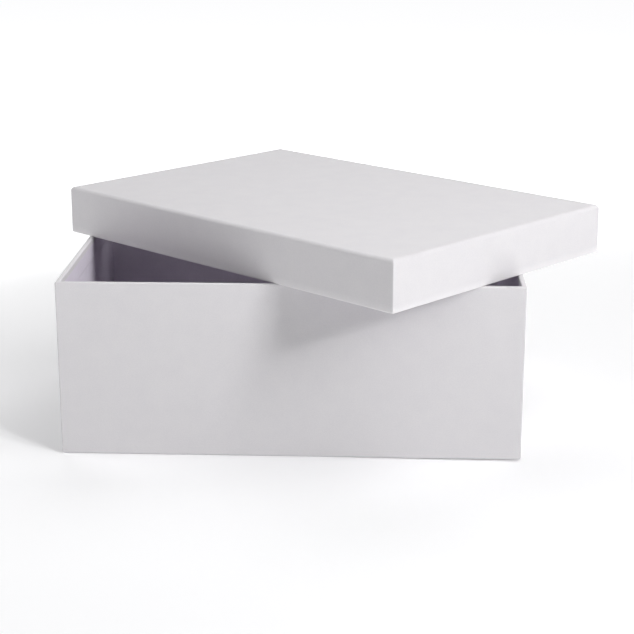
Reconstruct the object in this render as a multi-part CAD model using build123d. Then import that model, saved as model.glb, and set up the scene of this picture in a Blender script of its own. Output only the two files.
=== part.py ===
# Archival document box: an open tray of paper-covered greyboard and a separate lift-off lid.
# The lid lies on the tray's rim, turned and moved off square, as it is put down when the box is opened.
# Millimetres, +Z up. The origin is the middle of the underside of the tray. X runs along the tray's
# length and Y along its depth, with the front at -Y.
import os
from build123d import *

# Overall sizes, outside
tray_length = 330.0
tray_depth = 225.0
tray_height = 128.0
lid_height = 36.5

# Sheet materials
board = 3.0              # greyboard
cover = 0.25             # covering paper
lining = 0.2             # lining paper
base_sheet = 0.25        # sheet pasted under the base
stay = 0.12              # gummed paper tape over the board corners

# Edges and overlaps
turn_in = 15.0           # how far the covering is turned in, inside the rim and under the base
lining_drop = 4.0        # the lining starts this far from the rim's edge
sheet_inset = 4.0        # the base sheet stops this far inside the outside edge
floor_margin = 0.5       # gap between the flat lining sheets and the wall lining
stay_leg = 20.0          # length of tape on each side of a corner
stay_margin = 6.0        # the tape stops this far from the ends of the wall boards
corner_radius = 0.8      # upright corners
rim_radius = 1.0         # folds over both rims
foot_radius = 1.2        # fold under the tray
lid_edge_radius = 3.0    # soft fold round the lid's top

# Fit and rest pose of the lid
lid_clearance = 0.3      # gap each side between the tray and the lid's lining when it is shut
lid_rest_gap = 0.1       # the lid's rim above the tray's rim
lid_shift_x = 22.4
lid_shift_y = 15.6
lid_turn = -41.5         # degrees about Z

# Worked out
rim_wall = cover + board + cover
lined_wall = rim_wall + lining
lid_length = tray_length + 2 * (lined_wall + lid_clearance)
lid_depth = tray_depth + 2 * (lined_wall + lid_clearance)
far = 2 * (lid_length + lid_depth + tray_height)


def span_box(length, depth, low, high):
    """Plain block centred on the Z axis, from one height to another."""
    return Pos(0, 0, low) * Box(length, depth, high - low, align=(Align.CENTER, Align.CENTER, Align.MIN))


def ring_of(length, depth, outer_inset, inner_inset, low, high):
    """Square-cornered ring between two insets from the outside."""
    outer = span_box(length - 2 * outer_inset, depth - 2 * outer_inset, low, high)
    return outer - span_box(length - 2 * inner_inset, depth - 2 * inner_inset, low - 1, high + 1)


def eased_section(width, low, high, low_radius, high_radius):
    """Upright rectangle with its lower and upper corners rounded."""
    face = Pos(0, (low + high) / 2) * Rectangle(width, high - low)
    corners = face.vertices().group_by(Axis.Y)
    if low_radius > 0:
        face = fillet(corners[0], low_radius)
        corners = face.vertices().group_by(Axis.Y)
    if high_radius > 0:
        face = fillet(corners[-1], high_radius)
    return face


def upright_block(length, depth, low, high, inset=0.0):
    """Block with rounded upright corners. An inset shrinks the sides and the corners together."""
    plan = Rectangle(length - 2 * inset, depth - 2 * inset)
    if corner_radius > inset:
        plan = fillet(plan.vertices(), corner_radius - inset)
    return extrude(Pos(0, 0, low) * plan, high - low)


def eased_block(length, depth, low, high, low_radius, high_radius, inset=0.0):
    """Block with rounded upright corners, and rounded folds below and above that meet in mitres. An
    inset shrinks the sides and the radii together; the heights are given."""
    wide, deep = length - 2 * inset, depth - 2 * inset
    foot = max(low_radius - inset, 0)
    head = max(high_radius - inset, 0)
    across = Plane.YZ * eased_section(deep, low, high, foot, head)
    along = Plane.XZ * eased_section(wide, low, high, foot, head)
    mitred = extrude(across, wide / 2 + 1, both=True) & extrude(along, deep / 2 + 1, both=True)
    return mitred & upright_block(length, depth, low, high, inset)


def ease_mouth(ring, height, length, depth, radius):
    """Round the inner edge of a ring's rim at one height."""
    reach = 0.01
    edges = [
        edge for edge in ring.edges().filter_by(GeomType.LINE)
        if abs(edge.center().Z - height) < reach
        and abs(edge.center().X) < length / 2 + reach
        and abs(edge.center().Y) < depth / 2 + reach
        and (abs(abs(edge.center().X) - length / 2) < reach or abs(abs(edge.center().Y) - depth / 2) < reach)
    ]
    return fillet(edges, radius)


def wall_ring(length, depth, low, high, foot, head, mouth):
    """Four walls as one ring of board, its rim eased inside and out. mouth is the height of the rim."""
    ring = eased_block(length, depth, low, high, foot, head, inset=cover)
    inner_length = length - 2 * (cover + board)
    inner_depth = depth - 2 * (cover + board)
    ring -= span_box(inner_length, inner_depth, low - 1, high + 1)
    return ease_mouth(ring, mouth, inner_length, inner_depth, rim_radius - cover)


def split_walls(ring, length, depth):
    """Front and back run the full length, left and right fit between them."""
    inner_depth = depth - 2 * (cover + board)
    middle = Box(far, inner_depth, far)
    ends = ring & middle
    sides = ring - middle
    return {
        "front_board": sides & Pos(0, -far / 2, 0) * Box(far, far, far),
        "back_board": sides & Pos(0, far / 2, 0) * Box(far, far, far),
        "left_board": ends & Pos(-far / 2, 0, 0) * Box(far, far, far),
        "right_board": ends & Pos(far / 2, 0, 0) * Box(far, far, far),
    }


def corner_stays(length, depth, low, high):
    """Paper tape folded round the outside of each board corner."""
    tape = upright_block(length, depth, low, high, cover - stay)
    tape -= upright_block(length, depth, low - 1, high + 1, cover)
    stays = {}
    for side_y, name_y in ((-1, "front"), (1, "back")):
        for side_x, name_x in ((-1, "left"), (1, "right")):
            corner = Pos(side_x * length / 2, side_y * depth / 2, 0) * Box(2 * stay_leg, 2 * stay_leg, far)
            stays[f"stay_{name_y}_{name_x}"] = tape & corner
    return stays


def wall_lining(length, depth, rim, end):
    """Lining round the inside of the walls: over the turned-in covering near the rim, and on the bare
    board beyond it. rim and end are heights, with the rim above the end or below it."""
    inward = 1 if end > rim else -1
    start = rim + inward * lining_drop
    step = rim + inward * turn_in
    bare, turned = cover + board, rim_wall
    over = ring_of(length, depth, turned, turned + lining, *sorted((start, step)))
    bridge = ring_of(length, depth, bare, turned + lining, *sorted((step, step + inward * lining)))
    plain = ring_of(length, depth, bare, bare + lining, *sorted((step, end)))
    return over + bridge + plain


# Tray
tray_foot = base_sheet + cover           # underside of the boards
tray_floor = tray_foot + board           # top of the base board
parts = {}

tray_walls = wall_ring(tray_length, tray_depth, tray_foot, tray_height - cover,
                       foot_radius, rim_radius, tray_height - cover)
for name, solid in split_walls(tray_walls, tray_length, tray_depth).items():
    parts["tray_" + name] = solid
inner_length = tray_length - 2 * (cover + board)
inner_depth = tray_depth - 2 * (cover + board)
parts["tray_base_board"] = span_box(inner_length, inner_depth, tray_foot, tray_floor)

tray_stays = corner_stays(tray_length, tray_depth, tray_foot + stay_margin, tray_height - cover - stay_margin)
for name, solid in tray_stays.items():
    parts["tray_" + name] = solid

mouth_length = tray_length - 2 * rim_wall
mouth_depth = tray_depth - 2 * rim_wall
tray_cover = eased_block(tray_length, tray_depth, base_sheet, tray_height, foot_radius, rim_radius)
tray_cover -= span_box(mouth_length, mouth_depth, tray_foot, tray_height + 1)
tray_cover = ease_mouth(tray_cover, tray_height, mouth_length, mouth_depth, rim_radius)
tray_cover -= tray_walls
tray_cover -= ring_of(tray_length, tray_depth, cover + board, rim_wall, tray_foot, tray_height - turn_in)
tray_cover -= span_box(tray_length - 2 * turn_in, tray_depth - 2 * turn_in, 0, tray_foot + 1)
for solid in tray_stays.values():
    tray_cover -= solid
parts["tray_cover"] = tray_cover

parts["tray_wall_lining"] = wall_lining(tray_length, tray_depth, tray_height, tray_floor)
plain_wall = cover + board + lining + floor_margin
parts["tray_floor_lining"] = span_box(tray_length - 2 * plain_wall, tray_depth - 2 * plain_wall,
                                      tray_floor, tray_floor + lining)
sheet = span_box(tray_length - 2 * sheet_inset, tray_depth - 2 * sheet_inset, 0, base_sheet)
sheet += span_box(tray_length - 2 * turn_in, tray_depth - 2 * turn_in, 0, tray_foot)
parts["tray_base_sheet"] = sheet

# Lid, in its own frame: rim down at height 0, then laid on the tray
lid_parts = {}
lid_top_inside = lid_height - cover - board          # underside of the top board
lid_core = eased_block(lid_length, lid_depth, cover, lid_height - cover, 0, lid_edge_radius, inset=cover)
lid_parts["lid_top_board"] = lid_core & span_box(far, far, lid_top_inside, lid_height)
lid_walls = wall_ring(lid_length, lid_depth, cover, lid_top_inside, rim_radius, 0, cover)
for name, solid in split_walls(lid_walls, lid_length, lid_depth).items():
    lid_parts["lid_" + name] = solid

lid_stays = corner_stays(lid_length, lid_depth, cover + stay_margin, lid_top_inside - stay_margin / 2)
for name, solid in lid_stays.items():
    lid_parts["lid_" + name] = solid

lid_mouth_length = lid_length - 2 * rim_wall
lid_mouth_depth = lid_depth - 2 * rim_wall
lid_cover = eased_block(lid_length, lid_depth, 0, lid_height, rim_radius, lid_edge_radius)
lid_cover -= span_box(lid_mouth_length, lid_mouth_depth, -1, lid_top_inside)
lid_cover = ease_mouth(lid_cover, 0, lid_mouth_length, lid_mouth_depth, rim_radius)
lid_cover -= lid_walls
lid_cover -= lid_parts["lid_top_board"]
lid_cover -= ring_of(lid_length, lid_depth, cover + board, rim_wall, turn_in, lid_top_inside)
for solid in lid_stays.values():
    lid_cover -= solid
lid_parts["lid_cover"] = lid_cover

lid_parts["lid_wall_lining"] = wall_lining(lid_length, lid_depth, 0, lid_top_inside)
lid_parts["lid_top_lining"] = span_box(lid_length - 2 * plain_wall, lid_depth - 2 * plain_wall,
                                       lid_top_inside - lining, lid_top_inside)

lid_place = Pos(lid_shift_x, lid_shift_y, tray_height + lid_rest_gap) * Rot(0, 0, lid_turn)
for name, solid in lid_parts.items():
    parts[name] = lid_place * solid

os.makedirs("parts", exist_ok=True)
for name, solid in parts.items():
    export_step(solid, f"parts/{name}.step")
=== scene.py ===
from math import radians, sin, cos, pi

import bmesh
import bpy
from mathutils import Matrix, Vector


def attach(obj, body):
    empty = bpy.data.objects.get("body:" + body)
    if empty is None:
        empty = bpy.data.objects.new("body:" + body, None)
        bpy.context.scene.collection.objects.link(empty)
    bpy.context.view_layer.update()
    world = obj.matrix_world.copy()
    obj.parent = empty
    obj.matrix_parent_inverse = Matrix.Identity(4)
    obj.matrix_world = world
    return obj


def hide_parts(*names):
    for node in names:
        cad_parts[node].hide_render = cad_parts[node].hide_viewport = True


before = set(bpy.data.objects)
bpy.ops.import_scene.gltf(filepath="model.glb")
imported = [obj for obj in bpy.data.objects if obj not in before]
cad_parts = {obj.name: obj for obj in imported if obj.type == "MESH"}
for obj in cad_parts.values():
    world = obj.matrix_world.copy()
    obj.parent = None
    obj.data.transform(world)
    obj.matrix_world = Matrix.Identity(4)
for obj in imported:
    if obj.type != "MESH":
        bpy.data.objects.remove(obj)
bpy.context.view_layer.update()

mm = 0.001
print("frame loaded:", len(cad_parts), "nodes")


def addNode(tree, kind, inputs=(), **settings):
    # inputs is a list in socket order or a dictionary by name; a node stands for its first output
    node = tree.nodes.new(kind)
    for name, value in settings.items():
        setattr(node, name, value)
    for key, value in inputs.items() if isinstance(inputs, dict) else enumerate(inputs):
        if isinstance(value, bpy.types.Node):
            value = value.outputs[0]
        if isinstance(value, bpy.types.NodeSocket):
            tree.links.new(value, node.inputs[key])
        elif value is not None:
            node.inputs[key].default_value = value
    return node


# sockets of the Mix node whose names repeat, by number
colourA, colourB, mixedColour = 6, 7, 2
vectorA, vectorB, mixedVector = 4, 5, 1


def linearColour(hexText):
    # sRGB hex to linear RGBA
    parts = [int(hexText[i:i + 2], 16) / 255 for i in (1, 3, 5)]
    return [c / 12.92 if c <= 0.04045 else ((c + 0.055) / 1.055) ** 2.4 for c in parts] + [1.0]


def ownBox(name, turn):
    # a node's box measured square to the node itself, in mm, when the node is turned about Z
    back = Matrix.Rotation(-turn, 3, "Z")
    points = [back @ v.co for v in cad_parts[name].data.vertices]
    low, high = (Vector([pick(p[i] for p in points) for i in range(3)]) for pick in (min, max))
    return low / mm, high / mm


# sizes below are read from the frame's own nodes, in mm
lidTurn = radians(-41.5)                     # the lid lies turned on the tray
trayLow, trayHigh = ownBox("tray_cover", 0)
trayBoardLow, trayBoardHigh = ownBox("tray_front_board", 0)
trayLiningLow, trayLiningHigh = ownBox("tray_wall_lining", 0)
trayFloorLow, trayFloorHigh = ownBox("tray_floor_lining", 0)
baseSheetLow, baseSheetHigh = ownBox("tray_base_sheet", 0)
lidLow, lidHigh = ownBox("lid_cover", lidTurn)
lidLiningLow, lidLiningHigh = ownBox("lid_wall_lining", lidTurn)
lidTopLow, lidTopHigh = ownBox("lid_top_lining", lidTurn)
lidMiddle = (lidLow + lidHigh) / 2

coverThick = trayHigh.z - trayBoardHigh.z                # covering paper
boardThick = trayBoardHigh.y - trayBoardLow.y            # greyboard
liningThick = trayFloorHigh.z - trayFloorLow.z           # lining paper
skin = coverThick + boardThick                           # outside face to the board's inner face
mouth = skin + coverThick                                # outside face to the turned-in paper's face
foldSteps = 7                                            # points along each fold
creaseRadius = 0.35                                      # paper pressed into an inside corner
insideEase = 0.2                                         # a sheet's inner face is tighter at corners
tapeReach = 17.0                                         # corner tape under the covering, from the corner
tapeFade = 5.0                                           # the paper comes down past the tape over this width
highlightReach = 1.5                                          # painted highlight, with a little rubbing, above and below the rim's edge
wallStep = 9.0                                           # largest gap between a folded sheet's points
flatStep = 12.0                                          # the same for a flat sheet
stitch = 0.002                                           # points nearer than this become one
crispAngle = radians(40)                                 # sharper edges than this are cuts, not folds


# A profile is a list of (inset from the outside face, height, corner radius). Each of its points becomes
# one loop round the box.

def foldedLine(corners):
    # corners are (inset, height, fold radius); folds become arcs
    line = []
    for i, (x, z, radius) in enumerate(corners):
        here = Vector((x, z))
        if radius <= 0 or i in (0, len(corners) - 1):
            line.append(here)
            continue
        before = (Vector(corners[i - 1][:2]) - here).normalized()
        after = (Vector(corners[i + 1][:2]) - here).normalized()
        middle = here + (before + after) * radius
        for k in range(foldSteps + 1):
            angle = pi / 2 * k / foldSteps
            line.append(middle - after * radius * cos(angle) - before * radius * sin(angle))
    return line


def sideways(line, amount):
    # the line moved to its left by amount, for the sheet's other face
    moved = []
    for i, point in enumerate(line):
        ahead = line[min(i + 1, len(line) - 1)] - point
        behind = point - line[max(i - 1, 0)]
        tangent = (ahead.normalized() + behind.normalized()).normalized()
        moved.append(point + Vector((-tangent.y, tangent.x)) * amount)
    return moved


def spaced(line, step):
    # extra points on the long straight stretches, closer near their ends
    dense = [line[0]]
    for a, b in zip(line, line[1:]):
        count = max(1, round((b - a).length / step))
        dense += [a.lerp(b, (1 - cos(pi * k / count)) / 2) for k in range(1, count + 1)]
    return dense


def buildFoldTree():
    # Geometry Nodes: the input mesh's points are a profile; the output is the sheet folded round the box
    tree = bpy.data.node_groups.new("foldedSheet", "GeometryNodeTree")
    sockets = (
        ("Profile", "NodeSocketGeometry"), ("Length", "NodeSocketFloat"), ("Depth", "NodeSocketFloat"),
        ("Closed", "NodeSocketBool"), ("Corner Steps", "NodeSocketInt"), ("Side Steps", "NodeSocketInt"),
        ("Cockle", "NodeSocketFloat"), ("Cockle Size", "NodeSocketFloat"), ("Seed", "NodeSocketFloat"),
        ("Sink", "NodeSocketFloat"), ("Tape Reach", "NodeSocketFloat"), ("Rim Height", "NodeSocketFloat"),
        ("Highlight And Wear", "NodeSocketFloat"), ("Turn", "NodeSocketFloat"), ("Place", "NodeSocketVector"),
        ("Material", "NodeSocketMaterial"),
    )
    for name, kind in sockets:
        tree.interface.new_socket(name, in_out="INPUT", socket_type=kind)
    tree.interface.new_socket("Geometry", in_out="OUTPUT", socket_type="NodeSocketGeometry")
    given = addNode(tree, "NodeGroupInput").outputs

    # a plain grid: X counts along the profile, Y counts round the box
    count = addNode(tree, "GeometryNodeAttributeDomainSize", [given["Profile"]], component="MESH")
    rows = addNode(tree, "ShaderNodeMath", [count, given["Closed"]], operation="ADD")
    cornerAndSide = addNode(tree, "ShaderNodeMath", [given["Corner Steps"], given["Side Steps"]],
                            operation="ADD")
    around = addNode(tree, "ShaderNodeMath", [cornerAndSide, 4.0], operation="MULTIPLY")
    columns = addNode(tree, "ShaderNodeMath", [around, 1.0], operation="ADD")
    grid = addNode(tree, "GeometryNodeMeshGrid", [1.0, 1.0, rows, columns])
    index = addNode(tree, "GeometryNodeInputIndex")
    row = addNode(tree, "ShaderNodeMath", [index, columns], operation="DIVIDE")
    row = addNode(tree, "ShaderNodeMath", [row], operation="FLOOR")
    column = addNode(tree, "ShaderNodeMath", [index, columns], operation="MODULO")
    profileRow = addNode(tree, "ShaderNodeMath", [row, count], operation="MODULO")

    # the profile's point for this row
    place = addNode(tree, "GeometryNodeInputPosition")
    sample = addNode(tree, "GeometryNodeSampleIndex", {
        "Geometry": given["Profile"], "Value": place, "Index": profileRow}, data_type="FLOAT_VECTOR")
    point = addNode(tree, "ShaderNodeSeparateXYZ", [sample]).outputs
    inset, height, radius = point["X"], point["Y"], point["Z"]

    # which quarter this column is in, and how far along its corner and its side
    quarter = addNode(tree, "ShaderNodeMath", [column, cornerAndSide], operation="DIVIDE")
    quarter = addNode(tree, "ShaderNodeMath", [quarter], operation="FLOOR")
    step = addNode(tree, "ShaderNodeMath", [column, cornerAndSide], operation="MODULO")
    bend = addNode(tree, "ShaderNodeMath", [step, given["Corner Steps"]], operation="DIVIDE", use_clamp=True)
    along = addNode(tree, "ShaderNodeMath", [step, given["Corner Steps"]], operation="SUBTRACT")
    along = addNode(tree, "ShaderNodeMath", [along, given["Side Steps"]], operation="DIVIDE", use_clamp=True)
    # sides are divided more finely near the corners
    eased = addNode(tree, "ShaderNodeMath", [along, pi], operation="MULTIPLY")
    eased = addNode(tree, "ShaderNodeMath", [eased], operation="COSINE")
    eased = addNode(tree, "ShaderNodeMath", [eased, -0.5, 0.5], operation="MULTIPLY_ADD")
    angle = addNode(tree, "ShaderNodeMath", [quarter, bend], operation="ADD")
    angle = addNode(tree, "ShaderNodeMath", [angle, pi / 2], operation="MULTIPLY")

    # corner centres of this quarter and the next, and the point between them
    halves = []
    for size in ("Length", "Depth"):
        half = addNode(tree, "ShaderNodeMath", [given[size], 0.5], operation="MULTIPLY")
        half = addNode(tree, "ShaderNodeMath", [half, inset], operation="SUBTRACT")
        halves.append(addNode(tree, "ShaderNodeMath", [half, radius], operation="SUBTRACT"))
    centres = []
    for ahead in (0.5, 1.5):
        diagonal = addNode(tree, "ShaderNodeMath", [quarter, ahead], operation="ADD")
        diagonal = addNode(tree, "ShaderNodeMath", [diagonal, pi / 2], operation="MULTIPLY")
        parts = []
        for half, side in zip(halves, ("COSINE", "SINE")):
            sign = addNode(tree, "ShaderNodeMath", [diagonal], operation=side)
            sign = addNode(tree, "ShaderNodeMath", [sign], operation="SIGN")
            parts.append(addNode(tree, "ShaderNodeMath", [sign, half], operation="MULTIPLY"))
        centres.append(addNode(tree, "ShaderNodeCombineXYZ", parts + [height]))
    between = addNode(tree, "ShaderNodeMix", {"Factor": eased, vectorA: centres[0], vectorB: centres[1]},
                      data_type="VECTOR")
    outward = addNode(tree, "ShaderNodeCombineXYZ", [
        addNode(tree, "ShaderNodeMath", [angle], operation="COSINE"),
        addNode(tree, "ShaderNodeMath", [angle], operation="SINE")])
    reach = addNode(tree, "ShaderNodeVectorMath", {0: outward, "Scale": radius}, operation="SCALE")
    folded = addNode(tree, "ShaderNodeVectorMath", [between.outputs[mixedVector], reach], operation="ADD")

    # how near each point is to the rim's folds, kept as "foldHighlightAndWear" for the painted highlight and
    # slight rubbing along the folds
    rimGap = addNode(tree, "ShaderNodeMath", [height, given["Rim Height"]], operation="SUBTRACT")
    rimGap = addNode(tree, "ShaderNodeMath", [rimGap], operation="ABSOLUTE")
    highlightAndWear = addNode(tree, "ShaderNodeMapRange", {
        "Value": rimGap, "From Min": 0.0, "From Max": highlightReach, "To Min": given["Highlight And Wear"], "To Max": 0.0},
        interpolation_type="SMOOTHSTEP")
    highlighted = addNode(tree, "GeometryNodeStoreNamedAttribute",
                   {"Geometry": grid, "Name": "foldHighlightAndWear", "Value": highlightAndWear}, data_type="FLOAT", domain="POINT")
    shaped = addNode(tree, "GeometryNodeSetPosition", {"Geometry": highlighted, "Position": folded})
    merged = addNode(tree, "GeometryNodeMergeByDistance", {"Geometry": shaped, "Distance": stitch})

    # slow waves in the pasted paper, only ever inward, so that the sheet stays within the CAD part's size
    seedShift = addNode(tree, "ShaderNodeCombineXYZ", [given["Seed"], given["Seed"]])
    wavePlace = addNode(tree, "ShaderNodeVectorMath", [place, seedShift], operation="ADD")
    frequency = addNode(tree, "ShaderNodeMath", [1.0, given["Cockle Size"]], operation="DIVIDE")
    wave = addNode(tree, "ShaderNodeTexNoise", {"Vector": wavePlace, "Scale": frequency, "Detail": 1.0})
    wave = addNode(tree, "ShaderNodeMath", [wave.outputs[0], 1.0], operation="SUBTRACT")
    wave = addNode(tree, "ShaderNodeMath", [wave, given["Cockle"]], operation="MULTIPLY")

    # past the corner tape under it, the paper lies a little lower
    here = addNode(tree, "ShaderNodeSeparateXYZ", [place]).outputs
    gaps = []
    for size, axis in (("Length", "X"), ("Depth", "Y")):
        side = addNode(tree, "ShaderNodeMath", [given[size], 0.5], operation="MULTIPLY")
        off = addNode(tree, "ShaderNodeMath", [here[axis]], operation="ABSOLUTE")
        gaps.append(addNode(tree, "ShaderNodeMath", [side, off], operation="SUBTRACT"))
    fromCorner = addNode(tree, "ShaderNodeMath", gaps, operation="MAXIMUM")
    reachEnd = addNode(tree, "ShaderNodeMath", [given["Tape Reach"], tapeFade], operation="ADD")
    sink = addNode(tree, "ShaderNodeMapRange", {
        "Value": fromCorner, "From Min": given["Tape Reach"], "From Max": reachEnd, "To Min": 0.0,
        "To Max": given["Sink"]}, interpolation_type="SMOOTHSTEP")
    wave = addNode(tree, "ShaderNodeMath", [wave, sink], operation="SUBTRACT")
    facing = addNode(tree, "GeometryNodeInputNormal")
    offset = addNode(tree, "ShaderNodeVectorMath", {0: facing, "Scale": wave}, operation="SCALE")
    waved = addNode(tree, "GeometryNodeSetPosition", {"Geometry": merged, "Offset": offset})

    # into the frame: millimetres to metres, turned and laid in place
    metres = addNode(tree, "ShaderNodeVectorMath", {0: place, "Scale": mm}, operation="SCALE")
    turned = addNode(tree, "ShaderNodeVectorRotate", {"Vector": metres, "Angle": given["Turn"]},
                     rotation_type="Z_AXIS")
    laid = addNode(tree, "ShaderNodeVectorMath", [turned, given["Place"]], operation="ADD")
    laid = addNode(tree, "GeometryNodeSetPosition", {"Geometry": waved, "Position": laid})
    smooth = addNode(tree, "GeometryNodeSetShadeSmooth", {"Geometry": laid})
    real = addNode(tree, "GeometryNodeRealizeInstances", [smooth])
    painted = addNode(tree, "GeometryNodeSetMaterial", {"Geometry": real, "Material": given["Material"]})
    addNode(tree, "NodeGroupOutput", [painted])
    return tree


foldTree = buildFoldTree()


def foldedSheet(name, profile, box, paper, material, closed=True):
    # runs the profile through the tree and keeps the result as a plain mesh; box is trayBox or lidBox
    settings = dict(box, Closed=closed, Cockle=paper["cockle"], Seed=paper["seed"])
    settings.update({
        "Cockle Size": paper["cockleSize"], "Corner Steps": paper["cornerSteps"],
        "Side Steps": paper["sideSteps"], "Sink": paper.get("sink", 0.0), "Highlight And Wear": paper.get("highlightAndWear", 0.0),
        "Tape Reach": tapeReach})
    source = bpy.data.meshes.new(name + "Profile")
    source.from_pydata(profile, [], [])
    maker = bpy.data.objects.new(name + "Maker", source)
    bpy.context.scene.collection.objects.link(maker)
    modifier = maker.modifiers.new("fold", "NODES")
    modifier.node_group = foldTree
    for item in foldTree.interface.items_tree:
        if item.item_type == "SOCKET" and item.in_out == "INPUT" and item.name in settings:
            modifier[item.identifier] = settings[item.name]
        if item.name == "Material":
            modifier[item.identifier] = material
    graph = bpy.context.evaluated_depsgraph_get()
    mesh = bpy.data.meshes.new_from_object(maker.evaluated_get(graph))
    mesh.name = name
    bpy.data.objects.remove(maker)
    shell = bmesh.new()
    shell.from_mesh(mesh)
    bmesh.ops.recalc_face_normals(shell, faces=shell.faces)
    for edge in shell.edges:
        if len(edge.link_faces) == 2 and edge.calc_face_angle() > crispAngle:
            edge.smooth = False                       # the paper's cut edges stay crisp
    shell.to_mesh(mesh)
    shell.free()
    piece = bpy.data.objects.new(name, mesh)
    bpy.context.scene.collection.objects.link(piece)
    print("made", name, len(mesh.polygons), "faces")
    return piece


def withCorners(line, halfDepth, upright):
    # adds each point's corner radius: upright outside, a pressed crease inside the mouth, none at the middle
    points = []
    for p in line:
        pressed = min(max(p.x - skin + 1, 0), 1)
        radius = upright + (creaseRadius - upright) * pressed
        points.append((p.x, p.y, max(min(radius, halfDepth - p.x), 0)))
    return points


def sheetProfile(corners, thickness, halfDepth, upright):
    # both faces of a folded sheet, as one loop of points
    face = spaced(foldedLine(corners), wallStep)
    back = sideways(face, thickness)
    return withCorners(face, halfDepth, upright) + withCorners(back, halfDepth, upright - insideEase)[::-1]


def newMaterial(name):
    material = bpy.data.materials.new(name)
    material.use_nodes = True
    material.node_tree.nodes.clear()
    return material, material.node_tree


def sizedNoise(tree, where, sizeMm, detail=2.0, roughness=0.5):
    # noise whose lumps are about this many millimetres across
    return addNode(tree, "ShaderNodeTexNoise", {
        "Vector": where, "Scale": 1 / (sizeMm * mm), "Detail": detail, "Roughness": roughness})


wrappingPaper = {                # matt coated paper pasted on board: near-white, with soft wide highlights
    "light": "#DEDCDE", "dark": "#D9D7DA",
    "fold": "#F8F6F7",           # painted highlight where the rims' folds catch light, with a little rubbing
    "cloud": 14.0,               # mm, uneven formation seen as faint clouds
    "grain": 0.9,                # mm; real fibres are 0.1 mm, drawn coarser so that they show
    "grainDepth": 0.0016,        # mm
    "board": 4.5,                # mm, the board's texture showing through the pasted paper
    "boardDepth": 0.008,         # mm
    "wave": 55.0,                # mm, slow waves of board that isn't quite flat
    "waveDepth": 0.16,           # mm
    "roughness": (0.60, 0.70),
    "glare": 0.2,                # matt, so hardly any glare at a low angle
}
liningPaper = {                  # uncoated paper with a cool tint that deepens in the shade inside the box
    "light": "#E6E0EB", "dark": "#DFD9E4",
    "cloud": 9.0, "grain": 1.1, "grainDepth": 0.003, "board": 5.0, "boardDepth": 0.010,
    "wave": 40.0, "waveDepth": 0.12, "roughness": (0.66, 0.78), "glare": 0.2,
}


def paperMaterial(name, look):
    material, tree = newMaterial(name)
    where = addNode(tree, "ShaderNodeTexCoord").outputs["Object"]
    cloud = sizedNoise(tree, where, look["cloud"], 3.0)
    grain = sizedNoise(tree, where, look["grain"], 2.0, 0.65)
    tone = addNode(tree, "ShaderNodeMath", [cloud, 0.55, grain], operation="MULTIPLY_ADD")
    tone = addNode(tree, "ShaderNodeMapRange", {"Value": tone, "From Min": 0.55, "From Max": 1.0})
    colour = addNode(tree, "ShaderNodeMix", {
        "Factor": tone, colourA: linearColour(look["dark"]), colourB: linearColour(look["light"])},
        data_type="RGBA")
    # painted highlight along the rim's folds, with a little rubbing, mixed in from the fold colour
    if "fold" in look:
        highlightAndWear = addNode(tree, "ShaderNodeAttribute", attribute_name="foldHighlightAndWear").outputs["Fac"]
        colour = addNode(tree, "ShaderNodeMix", {
            "Factor": highlightAndWear, colourA: colour.outputs[mixedColour], colourB: linearColour(look["fold"])},
            data_type="RGBA")
    rough = addNode(tree, "ShaderNodeMapRange", {
        "Value": grain, "From Min": 0.3, "From Max": 0.7,
        "To Min": look["roughness"][0], "To Max": look["roughness"][1]})
    relief = None
    for size, detail in (("wave", 1.0), ("board", 2.0), ("grain", 2.0)):     # coarse to fine
        relief = addNode(tree, "ShaderNodeBump", {
            "Strength": 1.0, "Distance": look[size + "Depth"] * mm,
            "Height": sizedNoise(tree, where, look[size], detail), "Normal": relief})
    shader = addNode(tree, "ShaderNodeBsdfPrincipled", {
        "Base Color": colour.outputs[mixedColour], "Roughness": rough, "Normal": relief, "IOR": 1.48,
        "Specular IOR Level": look["glare"]})
    addNode(tree, "ShaderNodeOutputMaterial", [shader])
    return material


wrappingFinish = paperMaterial("mattCoatedWrappingPaper", wrappingPaper)
liningFinish = paperMaterial("coolWhiteLiningPaper", liningPaper)

greyboardSheet = {               # grey recycled board: dull matted fibres with dark specks
    "light": "#B3ADA3", "dark": "#8E8980", "fleck": "#5F5A54",
    "fibre": 1.2, "speck": 0.7, "relief": 0.03,
}
gummedPaper = {                  # gummed kraft tape: plain brown paper with a fine uneven tone
    "light": "#D2B48C", "dark": "#BD9C72", "fibre": 0.8, "relief": 0.01,
}


def boardMaterial(name, look):
    material, tree = newMaterial(name)
    where = addNode(tree, "ShaderNodeTexCoord").outputs["Object"]
    fibre = sizedNoise(tree, where, look["fibre"], 4.0, 0.7)
    colour = addNode(tree, "ShaderNodeMix", {
        "Factor": fibre, colourA: linearColour(look["dark"]), colourB: linearColour(look["light"])},
        data_type="RGBA")
    if "fleck" in look:
        speck = addNode(tree, "ShaderNodeTexVoronoi", {"Vector": where, "Scale": 1 / (look["speck"] * mm)})
        speck = addNode(tree, "ShaderNodeMapRange", {
            "Value": speck, "From Min": 0.08, "From Max": 0.16, "To Min": 0.6, "To Max": 0.0})
        colour = addNode(tree, "ShaderNodeMix", {
            "Factor": speck, colourA: colour.outputs[mixedColour], colourB: linearColour(look["fleck"])},
            data_type="RGBA")
    relief = addNode(tree, "ShaderNodeBump", {
        "Strength": 1.0, "Distance": look["relief"] * mm, "Height": fibre})
    shader = addNode(tree, "ShaderNodeBsdfPrincipled", {
        "Base Color": colour.outputs[mixedColour], "Roughness": 0.9, "Normal": relief})
    addNode(tree, "ShaderNodeOutputMaterial", [shader])
    return material


boardFinish = boardMaterial("greyboard", greyboardSheet)
tapeFinish = boardMaterial("gummedKraftTape", gummedPaper)
for name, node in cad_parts.items():
    finish = tapeFinish if "_stay_" in name else boardFinish if name.endswith("_board") else None
    if finish:
        node.data.materials.clear()
        node.data.materials.append(finish)
print("boards and tape finished")

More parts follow.
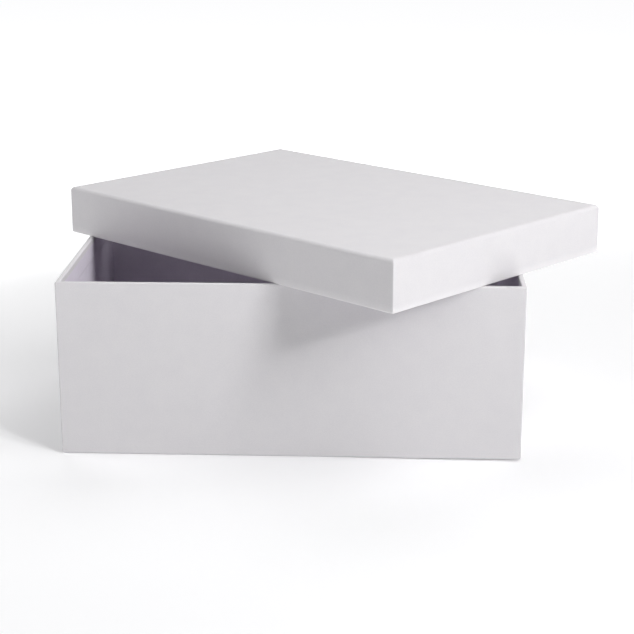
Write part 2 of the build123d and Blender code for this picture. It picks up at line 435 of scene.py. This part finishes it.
trayBox = {"Length": trayHigh.x - trayLow.x, "Depth": trayHigh.y - trayLow.y, "Rim Height": trayHigh.z,
           "Turn": 0.0, "Place": (0.0, 0.0, 0.0)}
trayHalf = trayBox["Depth"] / 2

trayCovering = {                 # one sheet over the outside, the rim, and some of the inside and underside
    "turnIn": 15.0, "rimRadius": 1.0, "footRadius": 1.2, "cornerRadius": 0.75, "cockle": 0.10,
    # painted highlight along the rim's folds (with slight rubbing): faint on the tray
    "cockleSize": 60.0, "sink": 0.09, "highlightAndWear": 0.05, "seed": 3.0, "cornerSteps": 6, "sideSteps": 44,
}
coverCorners = [
    (trayCovering["turnIn"], trayLow.z, 0), (0, trayLow.z, trayCovering["footRadius"]),
    (0, trayHigh.z, trayCovering["rimRadius"]), (mouth, trayHigh.z, trayCovering["rimRadius"]),
    (mouth, trayHigh.z - trayCovering["turnIn"], 0)]
coverProfile = sheetProfile(coverCorners, -coverThick, trayHalf, trayCovering["cornerRadius"])
trayCover = foldedSheet("tray_covering", coverProfile, trayBox, trayCovering, wrappingFinish)


joggle = {"before": 0.6, "after": 1.6, "steps": 8}     # mm, the lining's step over the turned-in paper's edge


def liningCorners(start, edge, end):
    # from near the rim, over the turned-in paper's edge, to the far end of the wall
    over, on = mouth + liningThick, skin + liningThick
    onward = 1 if end > start else -1
    first, last = edge - onward * joggle["before"], edge + onward * joggle["after"]
    corners = [(over, start, 0)]
    for k in range(joggle["steps"] + 1):
        t = k / joggle["steps"]
        corners.append((over + (on - over) * t * t * (3 - 2 * t), first + (last - first) * t, 0))
    return corners + [(on, end, 0)]


trayWallPaper = {                # a strip round the inside of the walls, its top edge below the rim
    "cornerRadius": 0.4, "cockle": 0.06, "cockleSize": 60.0, "seed": 11.0, "cornerSteps": 6, "sideSteps": 44,
}
wallCorners = liningCorners(trayLiningHigh.z, trayHigh.z - trayCovering["turnIn"], trayLiningLow.z)
wallProfile = sheetProfile(wallCorners, -liningThick, trayHalf, trayWallPaper["cornerRadius"])
trayLining = foldedSheet("tray_lining", wallProfile, trayBox, trayWallPaper, liningFinish)


def flatSheet(name, low, high, box, paper, material):
    # a flat sheet between two heights, cut to a CAD sheet's length and depth
    half = (high.y - low.y) / 2
    line = spaced([Vector((half, high.z)), Vector((0, high.z))], flatStep)
    back = [Vector((p.x, low.z)) for p in reversed(line)]
    profile = [(p.x, p.y, min(paper["cornerRadius"], half - p.x)) for p in line + back]
    cut = dict(box, Length=high.x - low.x, Depth=high.y - low.y)
    return foldedSheet(name, profile, cut, paper, material, closed=False)


trayFloorPaper = {               # the sheet that lines the tray's base
    "cornerRadius": 0.3, "cockle": 0.05, "cockleSize": 60.0, "seed": 21.0, "cornerSteps": 6, "sideSteps": 36,
}
trayFloor = flatSheet("tray_floor_sheet", trayFloorLow, trayFloorHigh, trayBox, trayFloorPaper, liningFinish)

trayBasePaper = {                # the sheet under the tray, over the covering's turned-in edges
    "cornerRadius": 0.3, "cockle": 0.0, "cockleSize": 60.0, "seed": 23.0, "cornerSteps": 6, "sideSteps": 36,
}
sheetTop = Vector((baseSheetHigh.x, baseSheetHigh.y, trayLow.z))
trayBase = flatSheet("tray_base_paper", baseSheetLow, sheetTop, trayBox, trayBasePaper, wrappingFinish)

# the lid is drawn square with its rim at height 0, then turned and laid on the tray
lidHeight = lidHigh.z - lidLow.z
turnedMiddle = Matrix.Rotation(lidTurn, 3, "Z") @ Vector((lidMiddle.x, lidMiddle.y, 0))
lidBox = {"Length": lidHigh.x - lidLow.x, "Depth": lidHigh.y - lidLow.y, "Rim Height": 0.0,
          "Turn": lidTurn, "Place": (turnedMiddle.x * mm, turnedMiddle.y * mm, lidLow.z * mm)}
lidHalf = lidBox["Depth"] / 2
down = Vector((0, 0, lidLow.z))

lidCovering = {                  # one sheet over the top and the lid's walls, turned in round its rim
    "turnIn": 15.0, "rimRadius": 1.0, "edgeRadius": 3.0, "cornerRadius": 0.75, "cockle": 0.10,
    # painted highlight along the rim's folds (with slight rubbing): full strength on the lid
    "cockleSize": 60.0, "sink": 0.09, "highlightAndWear": 1.0, "seed": 5.0, "cornerSteps": 6, "sideSteps": 44,
}
lidCorners = [
    (lidHalf, lidHeight, 0), (0, lidHeight, lidCovering["edgeRadius"]), (0, 0, lidCovering["rimRadius"]),
    (mouth, 0, lidCovering["rimRadius"]), (mouth, lidCovering["turnIn"], 0)]
lidProfile = sheetProfile(lidCorners, coverThick, lidHalf, lidCovering["cornerRadius"])
lidCover = foldedSheet("lid_covering", lidProfile, lidBox, lidCovering, wrappingFinish, closed=False)

lidWallPaper = {                 # a strip round the inside of the lid's walls
    "cornerRadius": 0.4, "cockle": 0.06, "cockleSize": 60.0, "seed": 13.0, "cornerSteps": 6, "sideSteps": 44,
}
wallCorners = liningCorners(lidLiningLow.z - lidLow.z, lidCovering["turnIn"], lidLiningHigh.z - lidLow.z)
wallProfile = sheetProfile(wallCorners, liningThick, lidHalf, lidWallPaper["cornerRadius"])
lidLining = foldedSheet("lid_lining", wallProfile, lidBox, lidWallPaper, liningFinish)

lidTopPaper = {                  # the sheet under the lid's top
    "cornerRadius": 0.3, "cockle": 0.05, "cockleSize": 60.0, "seed": 27.0, "cornerSteps": 6, "sideSteps": 36,
}
lidTop = flatSheet("lid_top_sheet", lidTopLow - down, lidTopHigh - down, lidBox, lidTopPaper, liningFinish)

for piece, body, node, slot in (
        (trayCover, "tray", "tray_cover", "covering_paper"),
        (trayLining, "tray", "tray_wall_lining", "lining_paper"),
        (trayFloor, "tray", "tray_floor_lining", "lining_paper"),
        (trayBase, "tray", "tray_base_sheet", "covering_paper"),
        (lidCover, "lid", "lid_cover", "covering_paper"),
        (lidLining, "lid", "lid_wall_lining", "lining_paper"),
        (lidTop, "lid", "lid_top_lining", "lining_paper")):
    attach(piece, body)
    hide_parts(node)
print("papers laid on tray and lid")

floorPaint = {                   # seamless white sweep that glows, dim near the box and bright away from it: painted shade near the box, painted light further off; lengths in m
    "colour": "#F2F2F3", "nearGlow": 0.175, "farGlow": 0.93, "size": 16.0,
    "glowMiddle": (0.25, -0.10, 0.0), "glowReach": (0.35, 1.4),
    "gap": 0.0001,               # just clear of the base sheet
    "dip": 0.0013, "dipReach": (0.02, 0.17),     # the sweep sags a hair under the right side
}


def buildFloor():
    material, tree = newMaterial("paleStudioFloor")
    colour = linearColour(floorPaint["colour"])
    place = addNode(tree, "ShaderNodeTexCoord").outputs["Object"]
    # the floor's own glow, no lamp: painted shade near the box, painted light further off
    away = addNode(tree, "ShaderNodeVectorMath", [place, floorPaint["glowMiddle"]], operation="DISTANCE")
    glow = addNode(tree, "ShaderNodeMapRange", {
        "Value": away.outputs["Value"],
        "From Min": floorPaint["glowReach"][0], "From Max": floorPaint["glowReach"][1],
        "To Min": floorPaint["nearGlow"], "To Max": floorPaint["farGlow"]},
        interpolation_type="SMOOTHSTEP")
    shader = addNode(tree, "ShaderNodeBsdfPrincipled", {
        "Base Color": colour, "Roughness": 0.9, "Specular IOR Level": 0.1,
        "Emission Color": colour, "Emission Strength": glow})
    addNode(tree, "ShaderNodeOutputMaterial", [shader])
    half = floorPaint["size"] / 2
    mesh = bpy.data.meshes.new("studio_floor")
    dipFrom, dipTo = floorPaint["dipReach"]
    points = []
    for x, sag in ((-half, 0.0), (dipFrom, 0.0), (dipTo, floorPaint["dip"]), (half, floorPaint["dip"])):
        level = -floorPaint["gap"] - sag
        points += [(x, -half, level), (x, half, level)]
    mesh.from_pydata(points, [], [(i, i + 2, i + 3, i + 1) for i in (0, 2, 4)])
    mesh.materials.append(material)
    floor = bpy.data.objects.new("studio_floor", mesh)
    bpy.context.scene.collection.objects.link(floor)


lamps = {
    # kind, azimuth from +X and elevation in degrees, distance and sizes in m, power;
    # a sun's first size is its angle in degrees
    "key": ("SUN", -40.0, 26.0, 2.0, (7.0, 0.0), 0.96),
    "keyStrip": ("AREA", -41.5, 34.0, 1.1, (0.10, 0.30), 3.0),
    "overhead": ("AREA", -35.0, 62.0, 1.1, (0.70, 0.70), 4.2),
    "left": ("AREA", 180.0, 35.0, 2.5, (1.4, 1.4), 15.5),
    "leftFront": ("AREA", -130.0, 25.0, 2.5, (1.6, 1.6), 4.3),
    "back": ("AREA", 90.0, 55.0, 1.5, (1.2, 0.9), 8.6),
}
lampTarget = Vector((0.02, 0.0, 0.09))


def buildLamps():
    for name, (kind, azimuth, elevation, distance, size, power) in lamps.items():
        data = bpy.data.lights.new(name, kind)
        if kind == "AREA":
            data.shape = "RECTANGLE"
            data.size, data.size_y = size
        else:
            data.angle = radians(size[0])
        data.energy = power
        lamp = bpy.data.objects.new(name, data)
        bpy.context.scene.collection.objects.link(lamp)
        az, el = radians(azimuth), radians(elevation)
        toward = Vector((cos(az) * cos(el), sin(az) * cos(el), sin(el)))
        lamp.location = lampTarget + toward * distance
        lamp.rotation_euler = toward.to_track_quat("Z", "Y").to_euler()


skyStrength = 0.02               # the room's faint even light


def buildWorld():
    world = bpy.data.worlds.new("studio")
    world.use_nodes = True
    world.node_tree.nodes.clear()
    sky = addNode(world.node_tree, "ShaderNodeBackground", [linearColour("#FFFFFF"), skyStrength])
    addNode(world.node_tree, "ShaderNodeOutputWorld", [sky])
    bpy.context.scene.world = world


view = {                         # mm and degrees
    "place": (64.1, -1182.4, 419.4), "pitch": 16.367, "turn": 2.398, "lens": 90.5, "sensor": 36.0,
    "farthest": 50.0,            # m
}


def buildCamera():
    data = bpy.data.cameras.new("camera")
    data.lens = view["lens"]
    data.sensor_width = view["sensor"]
    data.clip_end = view["farthest"]
    camera = bpy.data.objects.new("camera", data)
    camera.location = Vector(view["place"]) * mm
    camera.rotation_euler = (radians(90 - view["pitch"]), 0, radians(view["turn"]))
    bpy.context.scene.collection.objects.link(camera)
    bpy.context.scene.camera = camera


buildFloor()
buildLamps()
buildWorld()
buildCamera()
bpy.context.scene.view_settings.view_transform = "Standard"
print("studio ready")
